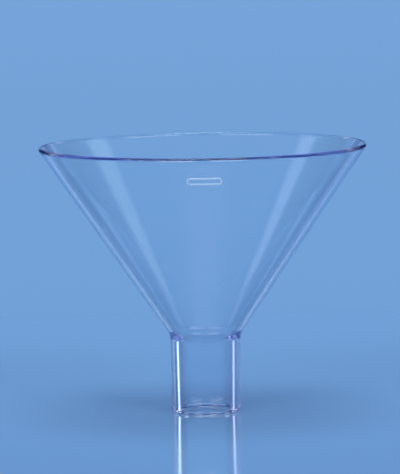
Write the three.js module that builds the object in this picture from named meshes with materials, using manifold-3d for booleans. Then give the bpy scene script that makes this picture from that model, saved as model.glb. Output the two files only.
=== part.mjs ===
// Laboratory powder funnel in clear borosilicate glass, with a fired enamel marking.
// Millimetres, +Z up. The origin is the centre of the foot, on the surface it stands on.
// The glass was worked in five zones, each a node: foot, stem, neck, cone and rim.
// Their sections share one outline, cut by level planes, so the zones meet face to face.

import * as THREE from 'three';
import { mergeVertices } from 'three/addons/utils/BufferGeometryUtils.js';
import Module from 'manifold-3d';

const wasm = await Module();
wasm.setup();

// Cone and rim
const MOUTH_DIAMETER = 150;
const OVERALL_HEIGHT = 122.6;
const OUTER_HALF_ANGLE = THREE.MathUtils.degToRad(34.4); // from the axis
const INNER_HALF_ANGLE = THREE.MathUtils.degToRad(34.6); // the wall thickens towards the neck
const RIM_WALL = 2; // also the width of the fire-polished edge

// Stem, a heavy-walled tube that narrows slightly towards the foot
const STEM_TOP_DIAMETER = 32.2;
const STEM_FOOT_DIAMETER = 31.6;
const BORE_TOP_DIAMETER = 24.8;
const BORE_FOOT_DIAMETER = 23.8;
const FOOT_EDGE_RADIUS = 1.2; // both edges of the foot, which leaves a flat land between them

// Bends where the cone turns into the stem
const OUTER_BEND_RADIUS = 6;
const INNER_BEND_RADIUS = 4;

// Level planes between the zones
const FOOT_TOP = 2.5;
const STEM_TOP = 31;
const NECK_TOP = 40;
const CONE_TOP = 119.5;

// Enamel marking: a plain ring-shaped bar on the front of the cone, facing -Y
const MARK_LENGTH = 15.6;
const MARK_RISE = 3.3; // height measured along Z
const MARK_STROKE = 0.7;
const MARK_CENTRE = 111.9;
const MARK_GAP = 0.1; // clear of the glass
const MARK_THICKNESS = 0.2;

const SEGMENTS = 72; // around the axis
const EDGE_STEPS = 3; // smoothness of the foot's edges and the bends
const RIM_STEPS = 5; // smoothness of the rim

const stemTopRadius = STEM_TOP_DIAMETER / 2;
const stemFootRadius = STEM_FOOT_DIAMETER / 2;
const boreTopRadius = BORE_TOP_DIAMETER / 2;
const boreFootRadius = BORE_FOOT_DIAMETER / 2;
const rimRadius = RIM_WALL / 2;
const rimCentre = new THREE.Vector2(MOUTH_DIAMETER / 2 - rimRadius, OVERALL_HEIGHT - rimRadius);

// Where the cone's outside and inside run tangent into the rounded rim
const outerTangent = new THREE.Vector2(
  rimCentre.x + rimRadius * Math.cos(OUTER_HALF_ANGLE),
  rimCentre.y - rimRadius * Math.sin(OUTER_HALF_ANGLE),
);
const innerTangent = new THREE.Vector2(
  rimCentre.x - rimRadius * Math.cos(INNER_HALF_ANGLE),
  rimCentre.y + rimRadius * Math.sin(INNER_HALF_ANGLE),
);

const outerRadiusAt = (z) => outerTangent.x - (outerTangent.y - z) * Math.tan(OUTER_HALF_ANGLE);
const innerRadiusAt = (z) => innerTangent.x - (innerTangent.y - z) * Math.tan(INNER_HALF_ANGLE);

// A bend's arc, which leaves the vertical wall at pi and meets the cone at pi - angle
function bendArc(wallRadius, tangent, angle, radius) {
  const cornerZ = tangent.y - (tangent.x - wallRadius) / Math.tan(angle);
  return {
    x: wallRadius + radius,
    z: cornerZ - radius * Math.tan(angle / 2),
    radius,
    coneEnd: Math.PI - angle,
  };
}

// Sections run anticlockwise in the (radius, height) plane, so the lathed faces point out
function footSection() {
  const edge = FOOT_EDGE_RADIUS;
  const section = new THREE.Path();
  section.moveTo(stemFootRadius, FOOT_TOP);
  section.lineTo(boreFootRadius, FOOT_TOP);
  section.absarc(boreFootRadius + edge, edge, edge, Math.PI, Math.PI * 1.5, false);
  section.absarc(stemFootRadius - edge, edge, edge, Math.PI * 1.5, Math.PI * 2, false);
  section.closePath();
  return section;
}

function stemSection() {
  const section = new THREE.Path();
  section.moveTo(boreFootRadius, FOOT_TOP);
  section.lineTo(stemFootRadius, FOOT_TOP);
  section.lineTo(stemTopRadius, STEM_TOP);
  section.lineTo(boreTopRadius, STEM_TOP);
  section.closePath();
  return section;
}

function neckSection() {
  const outer = bendArc(stemTopRadius, outerTangent, OUTER_HALF_ANGLE, OUTER_BEND_RADIUS);
  const inner = bendArc(boreTopRadius, innerTangent, INNER_HALF_ANGLE, INNER_BEND_RADIUS);
  const section = new THREE.Path();
  section.moveTo(boreTopRadius, STEM_TOP);
  section.lineTo(stemTopRadius, STEM_TOP);
  section.absarc(outer.x, outer.z, outer.radius, Math.PI, outer.coneEnd, true);
  section.lineTo(outerRadiusAt(NECK_TOP), NECK_TOP);
  section.lineTo(innerRadiusAt(NECK_TOP), NECK_TOP);
  section.absarc(inner.x, inner.z, inner.radius, inner.coneEnd, Math.PI, false);
  section.closePath();
  return section;
}

function coneSection() {
  const section = new THREE.Path();
  section.moveTo(innerRadiusAt(NECK_TOP), NECK_TOP);
  section.lineTo(outerRadiusAt(NECK_TOP), NECK_TOP);
  section.lineTo(outerRadiusAt(CONE_TOP), CONE_TOP);
  section.lineTo(innerRadiusAt(CONE_TOP), CONE_TOP);
  section.closePath();
  return section;
}

function rimSection() {
  const section = new THREE.Path();
  section.moveTo(innerRadiusAt(CONE_TOP), CONE_TOP);
  section.lineTo(outerRadiusAt(CONE_TOP), CONE_TOP);
  section.absarc(
    rimCentre.x, rimCentre.y, rimRadius, -OUTER_HALF_ANGLE, Math.PI - INNER_HALF_ANGLE, false,
  );
  section.closePath();
  return section;
}

// Turns a section about +Z. LatheGeometry turns about Y, so the result is stood up.
function lathe(section, steps = 1) {
  const geometry = new THREE.LatheGeometry(section.getPoints(steps), SEGMENTS);
  return geometry.rotateX(Math.PI / 2);
}

function toSolid(geometry) {
  const bare = geometry.clone();
  bare.deleteAttribute('normal');
  bare.deleteAttribute('uv');
  const merged = mergeVertices(bare);
  return new wasm.Manifold(new wasm.Mesh({
    numProp: 3,
    vertProperties: merged.attributes.position.array,
    triVerts: new Uint32Array(merged.index.array),
  }));
}

function toGeometry(solid) {
  const mesh = solid.getMesh();
  const geometry = new THREE.BufferGeometry();
  geometry.setAttribute('position', new THREE.BufferAttribute(mesh.vertProperties, 3));
  geometry.setIndex(new THREE.BufferAttribute(mesh.triVerts, 1));
  geometry.computeVertexNormals();
  return geometry;
}

// A bar with half-round ends, seen from the front
function addBar(path, length, rise) {
  const end = rise / 2;
  const reach = length / 2 - end;
  path.moveTo(-reach, -end);
  path.lineTo(reach, -end);
  path.absarc(reach, 0, end, -Math.PI / 2, Math.PI / 2, false);
  path.absarc(-reach, 0, end, Math.PI / 2, Math.PI * 1.5, false);
  return path;
}

// The marking is the part of a thin skin round the cone that lies behind the bar's outline
function markGeometry() {
  const slant = new THREE.Vector2(Math.cos(OUTER_HALF_ANGLE), -Math.sin(OUTER_HALF_ANGLE));
  const skinPoint = (z, offset) => new THREE.Vector2(outerRadiusAt(z), z).addScaledVector(slant, offset);
  const low = MARK_CENTRE - MARK_RISE;
  const high = MARK_CENTRE + MARK_RISE;
  const skin = new THREE.Path([
    skinPoint(low, MARK_GAP),
    skinPoint(low, MARK_GAP + MARK_THICKNESS),
    skinPoint(high, MARK_GAP + MARK_THICKNESS),
    skinPoint(high, MARK_GAP),
  ]);
  skin.closePath();

  const outline = addBar(new THREE.Shape(), MARK_LENGTH, MARK_RISE);
  outline.holes.push(addBar(new THREE.Path(), MARK_LENGTH - 2 * MARK_STROKE, MARK_RISE - 2 * MARK_STROKE));
  const prism = new THREE.ExtrudeGeometry(outline, {
    depth: MOUTH_DIAMETER / 2,
    bevelEnabled: false,
    curveSegments: EDGE_STEPS * 2,
  });
  prism.rotateX(Math.PI / 2);
  prism.translate(0, 0, MARK_CENTRE);
  return toGeometry(toSolid(lathe(skin)).intersect(toSolid(prism)));
}

const glass = { color: 0xdce9f5, roughness: 0.03, metalness: 0, transparent: true, opacity: 0.4 };
const enamel = { color: 0xf2f4f6, roughness: 0.55, metalness: 0 };

function addPiece(name, geometry, finish) {
  const mesh = new THREE.Mesh(geometry, new THREE.MeshStandardMaterial(finish));
  mesh.name = name;
  funnel.add(mesh);
}

const funnel = new THREE.Group();
addPiece('foot', lathe(footSection(), EDGE_STEPS), glass);
addPiece('stem', lathe(stemSection()), glass);
addPiece('neck', lathe(neckSection(), EDGE_STEPS), glass);
addPiece('cone', lathe(coneSection()), glass);
addPiece('rim', lathe(rimSection(), RIM_STEPS), glass);
addPiece('enamel_mark', markGeometry(), enamel);

export default funnel;
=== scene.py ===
"""Studio scene of a laboratory powder funnel in clear borosilicate glass. Metres, +Z up."""
import math

import bmesh
import bpy
from mathutils import Matrix, Vector, noise


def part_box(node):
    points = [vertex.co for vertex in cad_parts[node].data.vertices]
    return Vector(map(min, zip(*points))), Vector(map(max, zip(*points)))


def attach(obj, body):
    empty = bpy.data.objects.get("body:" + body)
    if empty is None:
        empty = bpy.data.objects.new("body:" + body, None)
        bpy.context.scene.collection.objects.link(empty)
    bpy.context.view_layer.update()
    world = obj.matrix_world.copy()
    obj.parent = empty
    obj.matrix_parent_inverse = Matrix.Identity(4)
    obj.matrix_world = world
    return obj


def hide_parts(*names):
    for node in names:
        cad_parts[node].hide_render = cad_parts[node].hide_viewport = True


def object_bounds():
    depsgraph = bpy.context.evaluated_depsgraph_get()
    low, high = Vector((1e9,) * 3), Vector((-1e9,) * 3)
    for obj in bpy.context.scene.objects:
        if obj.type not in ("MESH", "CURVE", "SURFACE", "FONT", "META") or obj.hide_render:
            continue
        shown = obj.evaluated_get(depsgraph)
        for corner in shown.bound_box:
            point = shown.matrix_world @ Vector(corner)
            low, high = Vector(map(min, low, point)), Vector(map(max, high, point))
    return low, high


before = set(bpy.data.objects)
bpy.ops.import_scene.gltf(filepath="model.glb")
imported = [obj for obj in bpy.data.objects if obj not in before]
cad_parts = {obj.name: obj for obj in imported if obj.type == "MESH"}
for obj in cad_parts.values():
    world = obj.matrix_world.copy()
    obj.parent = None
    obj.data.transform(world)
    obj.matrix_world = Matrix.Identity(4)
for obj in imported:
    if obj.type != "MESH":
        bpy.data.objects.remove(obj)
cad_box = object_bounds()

MM = 0.001

# --- glass: sizes that the CAD boxes don't give
FOOT_EDGE_RADIUS = 1.2 * MM
OUTER_BEND_RADIUS = 6 * MM
INNER_BEND_RADIUS = 4 * MM
SEGMENTS = 288  # around the axis
WALL_STEP = 1.2 * MM  # longest step along a straight wall
ARC_STEP = math.radians(7)  # longest step round an arc
RING_TOLERANCE = 0.01 * MM  # how level a ring of CAD points is

# --- glass: how far hand-worked glass strays from the drawing
RIM_WAVE = 0.10 * MM
RIM_WAVE_PHASE = 0.7
RIM_REACH = 15 * MM  # how far below the cone's top the rim's wave starts
WALL_WAVE = 0.025 * MM
WALL_NOISE_SCALE = 1.6  # how fast the wave changes round the axis
WALL_WAVE_LENGTH = 60 * MM
BORE_WAVE = 0.03 * MM
BORE_NOISE_SCALE = 2.5
BORE_WAVE_LENGTH = 90 * MM
NECK_BLEND = 10 * MM  # how far above the neck the bore's waves give way to the wall's
FOOT_BLEND = 4 * MM  # the foot stays flat, and the bore's waves grow above it

# --- glass: material
GLASS_COLOUR = (0.985, 0.992, 1.0, 1)
GLASS_IOR = 1.474
HAZE_SCALE = 90.0  # faint handling marks, per metre
HAZE_DETAIL = 3
HAZE_START, HAZE_FULL = 0.45, 0.8  # the noise values between which the haze comes in
HAZE_ROUGHNESS = 0.03
RIPPLE_SCALE = 120.0  # fire-polish ripples, per metre
RIPPLE_DETAIL = 1
RIPPLE_DEPTH = 0.004 * MM
GLASS_DEPTH_COLOUR = (0.04, 0.17, 0.6)  # what a long path inside the wall leaves of the light
GLASS_DEPTH_DENSITY = 12.0

# --- enamel marking
MARK_LIFT = 0.02 * MM
MARK_THICKNESS = 0.10 * MM
MARK_STROKE = 0.7 * MM
MARK_STEP = 0.25 * MM  # between the bead's sections
# The bead's section, as (across, up) shares of half the stroke and of the thickness
BEAD = [(-1.0, 0.0), (-0.92, 0.7), (-0.7, 1.0), (0.0, 1.08), (0.7, 1.0), (0.92, 0.7), (1.0, 0.0)]
ENAMEL_DULL = (0.84, 0.88, 0.93, 1)
ENAMEL_BRIGHT = (0.95, 0.97, 1.0, 1)
ENAMEL_ROUGHNESS = (0.42, 0.62)
SPECKLE_SCALE = 2600.0  # the fired grain, per metre
SPECKLE_DETAIL = 4
SPECKLE_BUMP = 0.2
SPECKLE_DEPTH = 0.02 * MM

# --- camera, as the photograph's
CAMERA_DISTANCE = 1.5869
CAMERA_HEIGHT = 0.2513
CAMERA_AZIMUTH = math.radians(-0.6)
CAMERA_ROLL = math.radians(-0.945)
CAMERA_TARGET = Vector((-0.00173, 0, 0.0802))
CAMERA_LENS = 264.5
SENSOR_HEIGHT = 36.0
CLIP_END = 100.0

# --- studio
FLOOR_RADIUS = 14.0
FLOOR_SEGMENTS = 96
FLOOR_COLOUR = (0.15, 0.30, 0.47)
FLOOR_ROUGHNESS = 0.10
HORIZON_COLOUR = (0.18, 0.35, 0.65)  # the walls near the floor, as pale as the floor
WALL_COLOUR = (0.03, 0.055, 0.13)  # the dim room above them
CEILING_COLOUR = (0.20, 0.38, 0.66)
HORIZON_TOP = math.radians(14)
WALL_FADE = math.radians(10)
FLOOR_DROP = 0.2 * MM  # keeps the floor clear of the glass that stands on it
LIGHT_BOUNCES = 128  # light guided along the wall meets it many times before it leaves

# Each screen and window: azimuth, elevation, half width, half height and soft edge in degrees,
# then its colour. Azimuths run from +Y towards +X.
SCREENS = (
    (-25, 3, 8, 9, 7, (0.03, 0.03, 0.17)),  # dark bands beside the cone's edges
    (25, 3, 8, 9, 7, (0.03, 0.03, 0.17)),
    (0, 15, 14, 3, 5, (0.06, 0.09, 0.34)),  # the stem's wall, and the floor near the foot
)
WINDOWS = (
    (-50, 10, 3, 5, 5, (2.6, 2.9, 3.2)),  # streaks in the stem's wall
    (52, 10, 3, 5, 5, (1.5, 1.35, 2.0)),
    (-22, 19, 2, 2, 4, (0.6, 0.6, 0.8)),  # pale lines along the cone's edges
    (26, 20, 2, 2, 4, (0.6, 0.5, 0.9)),
    (-22, 27, 2, 1, 4, (3.6, 3.6, 3.8)),  # the same lines, low on the cone
    (24, 27, 2, 1, 4, (3.6, 3.4, 3.8)),
    (75, 38, 4, 8, 8, (0.7, 1.0, 1.1)),  # broad streaks on the cone's inner wall
    (-73, 37, 3, 7, 6, (0.8, 1.0, 1.3)),
    (-140, 34, 18, 8, 10, (4.4, 4.4, 4.5)),  # front light on the enamel
    (140, 34, 18, 8, 10, (4.4, 4.4, 4.5)),
    (0, 90, 180, 40, 20, CEILING_COLOUR),
    (0, 90, 180, 14, 6, (5.0, 5.4, 5.6)),  # overhead lamp
)


def ring_radii(node, height):
    """The inner and outer radius of a CAD node's ring of points at one height."""
    points = [v.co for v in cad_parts[node].data.vertices]
    radii = [math.hypot(p.x, p.y) for p in points if abs(p.z - height) < RING_TOLERANCE]
    return min(radii), max(radii)


def straight(start, end):
    """Points from start up to, and not including, end."""
    steps = max(1, math.ceil((end - start).length / WALL_STEP))
    return [start.lerp(end, i / steps) for i in range(steps)]


def arc(centre, radius, first, last):
    """Points of an arc in the (radius, height) plane, both ends included."""
    steps = max(2, math.ceil(abs(last - first) / ARC_STEP))
    angles = [first + (last - first) * i / steps for i in range(steps + 1)]
    return [centre + radius * Vector((math.cos(a), math.sin(a))) for a in angles]


def bend(wall_radius, corner_height, angle, radius):
    """The arc from an upright wall into a cone wall that leans out by angle."""
    centre = Vector((wall_radius + radius, corner_height - radius * math.tan(angle / 2)))
    return arc(centre, radius, math.pi, math.pi - angle)


class Section:
    """The funnel's section, measured on the CAD nodes."""

    def __init__(self):
        self.foot_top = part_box("foot")[1].z
        self.stem_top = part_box("stem")[1].z
        self.neck_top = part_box("neck")[1].z
        self.cone_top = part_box("cone")[1].z
        self.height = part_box("rim")[1].z
        self.mouth_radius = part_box("rim")[1].x
        self.bore_foot, self.stem_foot = ring_radii("foot", self.foot_top)
        self.bore_top, self.stem_outer = ring_radii("stem", self.stem_top)
        low_in, low_out = ring_radii("cone", self.neck_top)
        high_in, high_out = ring_radii("cone", self.cone_top)
        rise = self.cone_top - self.neck_top
        self.outer_angle = math.atan2(high_out - low_out, rise)
        self.inner_angle = math.atan2(high_in - low_in, rise)
        self.cone_outer_low = low_out
        self.cone_inner_low = low_in

    def outer_radius(self, z):
        return self.cone_outer_low + (z - self.neck_top) * math.tan(self.outer_angle)

    def rim_arc(self):
        """The half-round edge, from the cone's outside over the top to its inside."""
        # The edge touches the outer line, and its widest point is the mouth's radius.
        lean = self.outer_angle
        gap = self.mouth_radius - self.outer_radius(self.height)
        radius = gap / (1 - 1 / math.cos(lean) - math.tan(lean))
        centre = Vector((self.mouth_radius - radius, self.height - radius))
        return arc(centre, radius, -lean, math.pi - self.inner_angle)

    def loop(self):
        """Closed outline, anticlockwise: up the outside, over the rim, down the inside."""
        outer_run = self.cone_outer_low - self.stem_outer
        inner_run = self.cone_inner_low - self.bore_top
        outer_corner = self.neck_top - outer_run / math.tan(self.outer_angle)
        inner_corner = self.neck_top - inner_run / math.tan(self.inner_angle)
        edge = FOOT_EDGE_RADIUS
        outer_foot = arc(Vector((self.stem_foot - edge, edge)), edge, -math.pi / 2, 0)
        inner_foot = arc(Vector((self.bore_foot + edge, edge)), edge, math.pi, math.pi * 1.5)
        outer_bend = bend(self.stem_outer, outer_corner, self.outer_angle, OUTER_BEND_RADIUS)
        inner_bend = bend(self.bore_top, inner_corner, self.inner_angle, INNER_BEND_RADIUS)
        inner_bend.reverse()
        rim = self.rim_arc()
        points = []
        for piece, following in (
            (outer_foot, outer_bend),
            (outer_bend, rim),
            (rim, inner_bend),
            (inner_bend, inner_foot),
            (inner_foot, outer_foot),
        ):
            points += piece[:-1] + straight(piece[-1], following[0])
        return points


def smoothstep(low, high, value):
    t = min(1.0, max(0.0, (value - low) / (high - low)))
    return t * t * (3 - 2 * t)


def hand_worked(point, is_inside, section, angle):
    """Moves one outline point a little, as worked glass strays from the drawing."""
    around = Vector((math.cos(angle), math.sin(angle)))
    near_rim = smoothstep(section.cone_top - RIM_REACH, section.height, point.y)
    off_foot = smoothstep(0, FOOT_BLEND, point.y)
    lift = RIM_WAVE * near_rim * math.sin(2 * angle + RIM_WAVE_PHASE)
    if not is_inside:
        return Vector((point.x, point.y + lift))
    above_neck = smoothstep(section.stem_top, section.neck_top + NECK_BLEND, point.y)
    on_cone = above_neck * (1 - near_rim)
    on_bore = off_foot * (1 - on_cone) * (1 - near_rim)
    wall_place = (*(around * WALL_NOISE_SCALE), point.y / WALL_WAVE_LENGTH)
    bore_place = (*(around * BORE_NOISE_SCALE), point.y / BORE_WAVE_LENGTH)
    swell = WALL_WAVE * on_cone * noise.noise(wall_place)
    cords = BORE_WAVE * on_bore * noise.noise(bore_place)
    return Vector((point.x + swell + cords, point.y + lift))


def glass_body(section):
    outline = section.loop()
    top = max(range(len(outline)), key=lambda i: outline[i].y)
    mesh = bmesh.new()
    rings = []
    for s in range(SEGMENTS):
        angle = 2 * math.pi * s / SEGMENTS
        ring = []
        for i, point in enumerate(outline):
            moved = hand_worked(point, i > top, section, angle)
            x = moved.x * math.cos(angle)
            y = moved.x * math.sin(angle)
            ring.append(mesh.verts.new((x, y, moved.y)))
        rings.append(ring)
    count = len(outline)
    for s in range(SEGMENTS):
        here, there = rings[s], rings[(s + 1) % SEGMENTS]
        for i in range(count):
            j = (i + 1) % count
            mesh.faces.new((here[i], there[i], there[j], here[j]))
    return to_object(mesh, "glass_body")


def to_object(mesh, name):
    """Turns a bmesh into a linked, smooth-shaded object."""
    bmesh.ops.recalc_face_normals(mesh, faces=mesh.faces)
    for face in mesh.faces:
        face.smooth = True
    data = bpy.data.meshes.new(name)
    mesh.to_mesh(data)
    mesh.free()
    piece = bpy.data.objects.new(name, data)
    bpy.context.scene.collection.objects.link(piece)
    return piece


def bar_outline(length, rise, step):
    """A closed bar with half-round ends, as evenly spaced (along, up) points."""
    end = rise / 2
    reach = length / 2 - end
    flat = max(1, round(2 * reach / step))
    turn = max(4, round(math.pi * end / step))
    points = []
    for side in (1, -1):
        for i in range(turn):
            a = -math.pi / 2 + math.pi * i / turn
            points.append(Vector((side * (reach + end * math.cos(a)), side * end * math.sin(a))))
        for i in range(flat):
            points.append(Vector((side * (reach - 2 * reach * i / flat), side * end)))
    return points


def enamel_mark(section):
    """The bar-shaped outline, swept as a low rounded bead that follows the cone."""
    low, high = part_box("enamel_mark")
    centre = (low.z + high.z) / 2
    length = high.x - low.x - MARK_STROKE
    rise = high.z - low.z - MARK_STROKE
    path = bar_outline(length, rise, MARK_STEP)
    count = len(path)
    half = MARK_STROKE / 2
    mesh = bmesh.new()
    rings = []
    for i, point in enumerate(path):
        tangent = (path[(i + 1) % count] - path[i - 1]).normalized()
        outward = Vector((tangent.y, -tangent.x))
        ring = []
        for across, up in BEAD:
            flat = point + outward * (across * half)
            z = centre + flat.y
            lift = MARK_LIFT + up * MARK_THICKNESS
            radius = section.outer_radius(z) + lift * math.cos(section.outer_angle)
            angle = -math.pi / 2 + math.asin(flat.x / radius)
            height = z - lift * math.sin(section.outer_angle)
            x = radius * math.cos(angle)
            y = radius * math.sin(angle)
            ring.append(mesh.verts.new((x, y, height)))
        rings.append(ring)
    for i in range(count):
        here, there = rings[i], rings[(i + 1) % count]
        for k in range(len(BEAD)):
            m = (k + 1) % len(BEAD)
            mesh.faces.new((here[k], there[k], there[m], here[m]))
    return to_object(mesh, "enamel_bar")


# --- materials

class Material:
    """A new material's node tree, with short ways to add and join nodes."""

    def __init__(self, name):
        self.data = bpy.data.materials.new(name)
        self.data.use_nodes = True
        self.nodes = self.data.node_tree.nodes
        self.links = self.data.node_tree.links
        self.shader = self.nodes["Principled BSDF"]

    def add(self, kind, **values):
        """Adds a node. Each value goes to the input of that name, with _ for a space."""
        node = self.nodes.new(kind)
        for name, value in values.items():
            node.inputs[name.replace("_", " ")].default_value = value
        return node

    def join(self, output, node, socket):
        self.links.new(output, node.inputs[socket])


def glass_material():
    glass = Material("borosilicate_glass")
    glass.shader.inputs["Base Color"].default_value = GLASS_COLOUR
    glass.shader.inputs["IOR"].default_value = GLASS_IOR
    glass.shader.inputs["Transmission Weight"].default_value = 1.0
    where = glass.add("ShaderNodeTexCoord")
    haze = glass.add("ShaderNodeTexNoise", Scale=HAZE_SCALE, Detail=HAZE_DETAIL)
    rough = glass.add(
        "ShaderNodeMapRange", From_Min=HAZE_START, From_Max=HAZE_FULL, To_Max=HAZE_ROUGHNESS
    )
    glass.join(where.outputs["Object"], haze, "Vector")
    glass.join(haze.outputs["Fac"], rough, "Value")
    glass.join(rough.outputs["Result"], glass.shader, "Roughness")
    ripple = glass.add("ShaderNodeTexNoise", Scale=RIPPLE_SCALE, Detail=RIPPLE_DETAIL)
    bump = glass.add("ShaderNodeBump", Strength=1.0, Distance=RIPPLE_DEPTH)
    glass.join(where.outputs["Object"], ripple, "Vector")
    glass.join(ripple.outputs["Fac"], bump, "Height")
    glass.join(bump.outputs["Normal"], glass.shader, "Normal")
    tint = glass.add(
        "ShaderNodeVolumeAbsorption", Color=(*GLASS_DEPTH_COLOUR, 1), Density=GLASS_DEPTH_DENSITY
    )
    glass.join(tint.outputs["Volume"], glass.nodes["Material Output"], "Volume")
    return glass.data


def enamel_material():
    enamel = Material("white_enamel")
    where = enamel.add("ShaderNodeTexCoord")
    speckle = enamel.add("ShaderNodeTexNoise", Scale=SPECKLE_SCALE, Detail=SPECKLE_DETAIL)
    smooth, rough = ENAMEL_ROUGHNESS
    tone = enamel.add("ShaderNodeMapRange", To_Min=smooth, To_Max=rough)
    colour = enamel.add("ShaderNodeMix")
    colour.data_type = "RGBA"
    colour.inputs["A"].default_value = ENAMEL_DULL
    colour.inputs["B"].default_value = ENAMEL_BRIGHT
    bump = enamel.add("ShaderNodeBump", Strength=SPECKLE_BUMP, Distance=SPECKLE_DEPTH)
    enamel.join(where.outputs["Object"], speckle, "Vector")
    enamel.join(speckle.outputs["Fac"], tone, "Value")
    enamel.join(speckle.outputs["Fac"], colour, "Factor")
    enamel.join(speckle.outputs["Fac"], bump, "Height")
    enamel.join(colour.outputs["Result"], enamel.shader, "Base Color")
    enamel.join(tone.outputs["Result"], enamel.shader, "Roughness")
    enamel.join(bump.outputs["Normal"], enamel.shader, "Normal")
    return enamel.data


def floor_material():
    floor = Material("pale_floor")
    floor.shader.inputs["Base Color"].default_value = (*FLOOR_COLOUR, 1)
    floor.shader.inputs["Roughness"].default_value = FLOOR_ROUGHNESS
    return floor.data


# --- stage, light and camera

def add_floor(level):
    mesh = bmesh.new()
    bmesh.ops.create_circle(mesh, cap_ends=True, radius=FLOOR_RADIUS, segments=FLOOR_SEGMENTS)
    floor = to_object(mesh, "floor")
    floor.location.z = level - FLOOR_DROP
    floor.data.materials.append(floor_material())


class Studio:
    """The room as a sky: pale low walls, a dim room above, and soft windows of light."""

    def __init__(self):
        world = bpy.data.worlds.new("studio")
        world.use_nodes = True
        bpy.context.scene.world = world
        self.nodes = world.node_tree.nodes
        self.links = world.node_tree.links
        where = self.nodes.new("ShaderNodeTexCoord")
        split = self.nodes.new("ShaderNodeSeparateXYZ")
        self.links.new(where.outputs["Generated"], split.inputs["Vector"])
        self.azimuth = self.math("ARCTAN2", split.outputs["X"], split.outputs["Y"])
        self.elevation = self.math("ARCSINE", split.outputs["Z"])
        walls = self.nodes.new("ShaderNodeMix")
        walls.data_type = "RGBA"
        walls.inputs["A"].default_value = (*WALL_COLOUR, 1)
        walls.inputs["B"].default_value = (*HORIZON_COLOUR, 1)
        low = self.inside(self.elevation, HORIZON_TOP, WALL_FADE)
        self.links.new(low, walls.inputs["Factor"])
        self.light = walls.outputs["Result"]

    def math(self, operation, *values):
        node = self.nodes.new("ShaderNodeMath")
        node.operation = operation
        for socket, value in zip(node.inputs, values):
            if isinstance(value, (int, float)):
                socket.default_value = value
            else:
                self.links.new(value, socket)
        return node.outputs["Value"]

    def inside(self, distance, reach, soft):
        """1 up to reach, then a smooth fall to 0 over soft."""
        fall = self.nodes.new("ShaderNodeMapRange")
        fall.interpolation_type = "SMOOTHSTEP"
        fall.inputs["From Min"].default_value = reach
        fall.inputs["From Max"].default_value = reach + soft
        fall.inputs["To Min"].default_value = 1
        fall.inputs["To Max"].default_value = 0
        self.links.new(distance, fall.inputs["Value"])
        return fall.outputs["Result"]

    def patch(self, azimuth, elevation, half_width, half_height, soft):
        turn = self.math("SUBTRACT", self.azimuth, math.radians(azimuth))
        turn = self.math("ABSOLUTE", self.math("WRAP", turn, math.pi, -math.pi))
        rise = self.math("SUBTRACT", self.elevation, math.radians(elevation))
        rise = self.math("ABSOLUTE", rise)
        across = self.inside(turn, math.radians(half_width), math.radians(soft))
        along = self.inside(rise, math.radians(half_height), math.radians(soft))
        return self.math("MULTIPLY", across, along)

    def window(self, azimuth, elevation, half_width, half_height, soft, colour):
        """Adds a soft-edged window of light."""
        add = self.nodes.new("ShaderNodeVectorMath")
        add.operation = "MULTIPLY_ADD"
        shape = self.patch(azimuth, elevation, half_width, half_height, soft)
        self.links.new(shape, add.inputs[0])
        add.inputs[1].default_value = colour
        self.links.new(self.light, add.inputs[2])
        self.light = add.outputs["Vector"]

    def screen(self, azimuth, elevation, half_width, half_height, soft, colour):
        """Puts a soft-edged dark screen in front of the walls."""
        mix = self.nodes.new("ShaderNodeMix")
        mix.data_type = "RGBA"
        shape = self.patch(azimuth, elevation, half_width, half_height, soft)
        self.links.new(shape, mix.inputs["Factor"])
        self.links.new(self.light, mix.inputs["A"])
        mix.inputs["B"].default_value = (*colour, 1)
        self.light = mix.outputs["Result"]

    def finish(self):
        self.links.new(self.light, self.nodes["Background"].inputs["Color"])


def add_studio():
    studio = Studio()
    for screen in SCREENS:
        studio.screen(*screen)
    for window in WINDOWS:
        studio.window(*window)
    studio.finish()


def add_camera():
    data = bpy.data.cameras.new("camera")
    data.lens = CAMERA_LENS
    data.sensor_fit = "VERTICAL"
    data.sensor_height = SENSOR_HEIGHT
    data.clip_end = CLIP_END
    camera = bpy.data.objects.new("camera", data)
    bpy.context.scene.collection.objects.link(camera)
    turn = Matrix.Rotation(CAMERA_AZIMUTH, 4, "Z")
    place = turn @ Vector((0, -CAMERA_DISTANCE, CAMERA_HEIGHT))
    target = turn @ CAMERA_TARGET
    aim = (target - place).to_track_quat("-Z", "Y").to_matrix().to_4x4()
    camera.matrix_world = Matrix.Translation(place) @ aim @ Matrix.Rotation(CAMERA_ROLL, 4, "Z")
    bpy.context.scene.camera = camera


section = Section()
body = glass_body(section)
body.data.materials.append(glass_material())
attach(body, "root")
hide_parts("foot", "stem", "neck", "cone", "rim")

mark = enamel_mark(section)
mark.data.materials.append(enamel_material())
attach(mark, "root")
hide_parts("enamel_mark")

add_floor(cad_box[0][2])
add_studio()
add_camera()

scene = bpy.context.scene
scene.view_settings.view_transform = "Standard"
scene.cycles.max_bounces = LIGHT_BOUNCES
scene.cycles.transmission_bounces = LIGHT_BOUNCES
scene.cycles.glossy_bounces = LIGHT_BOUNCES
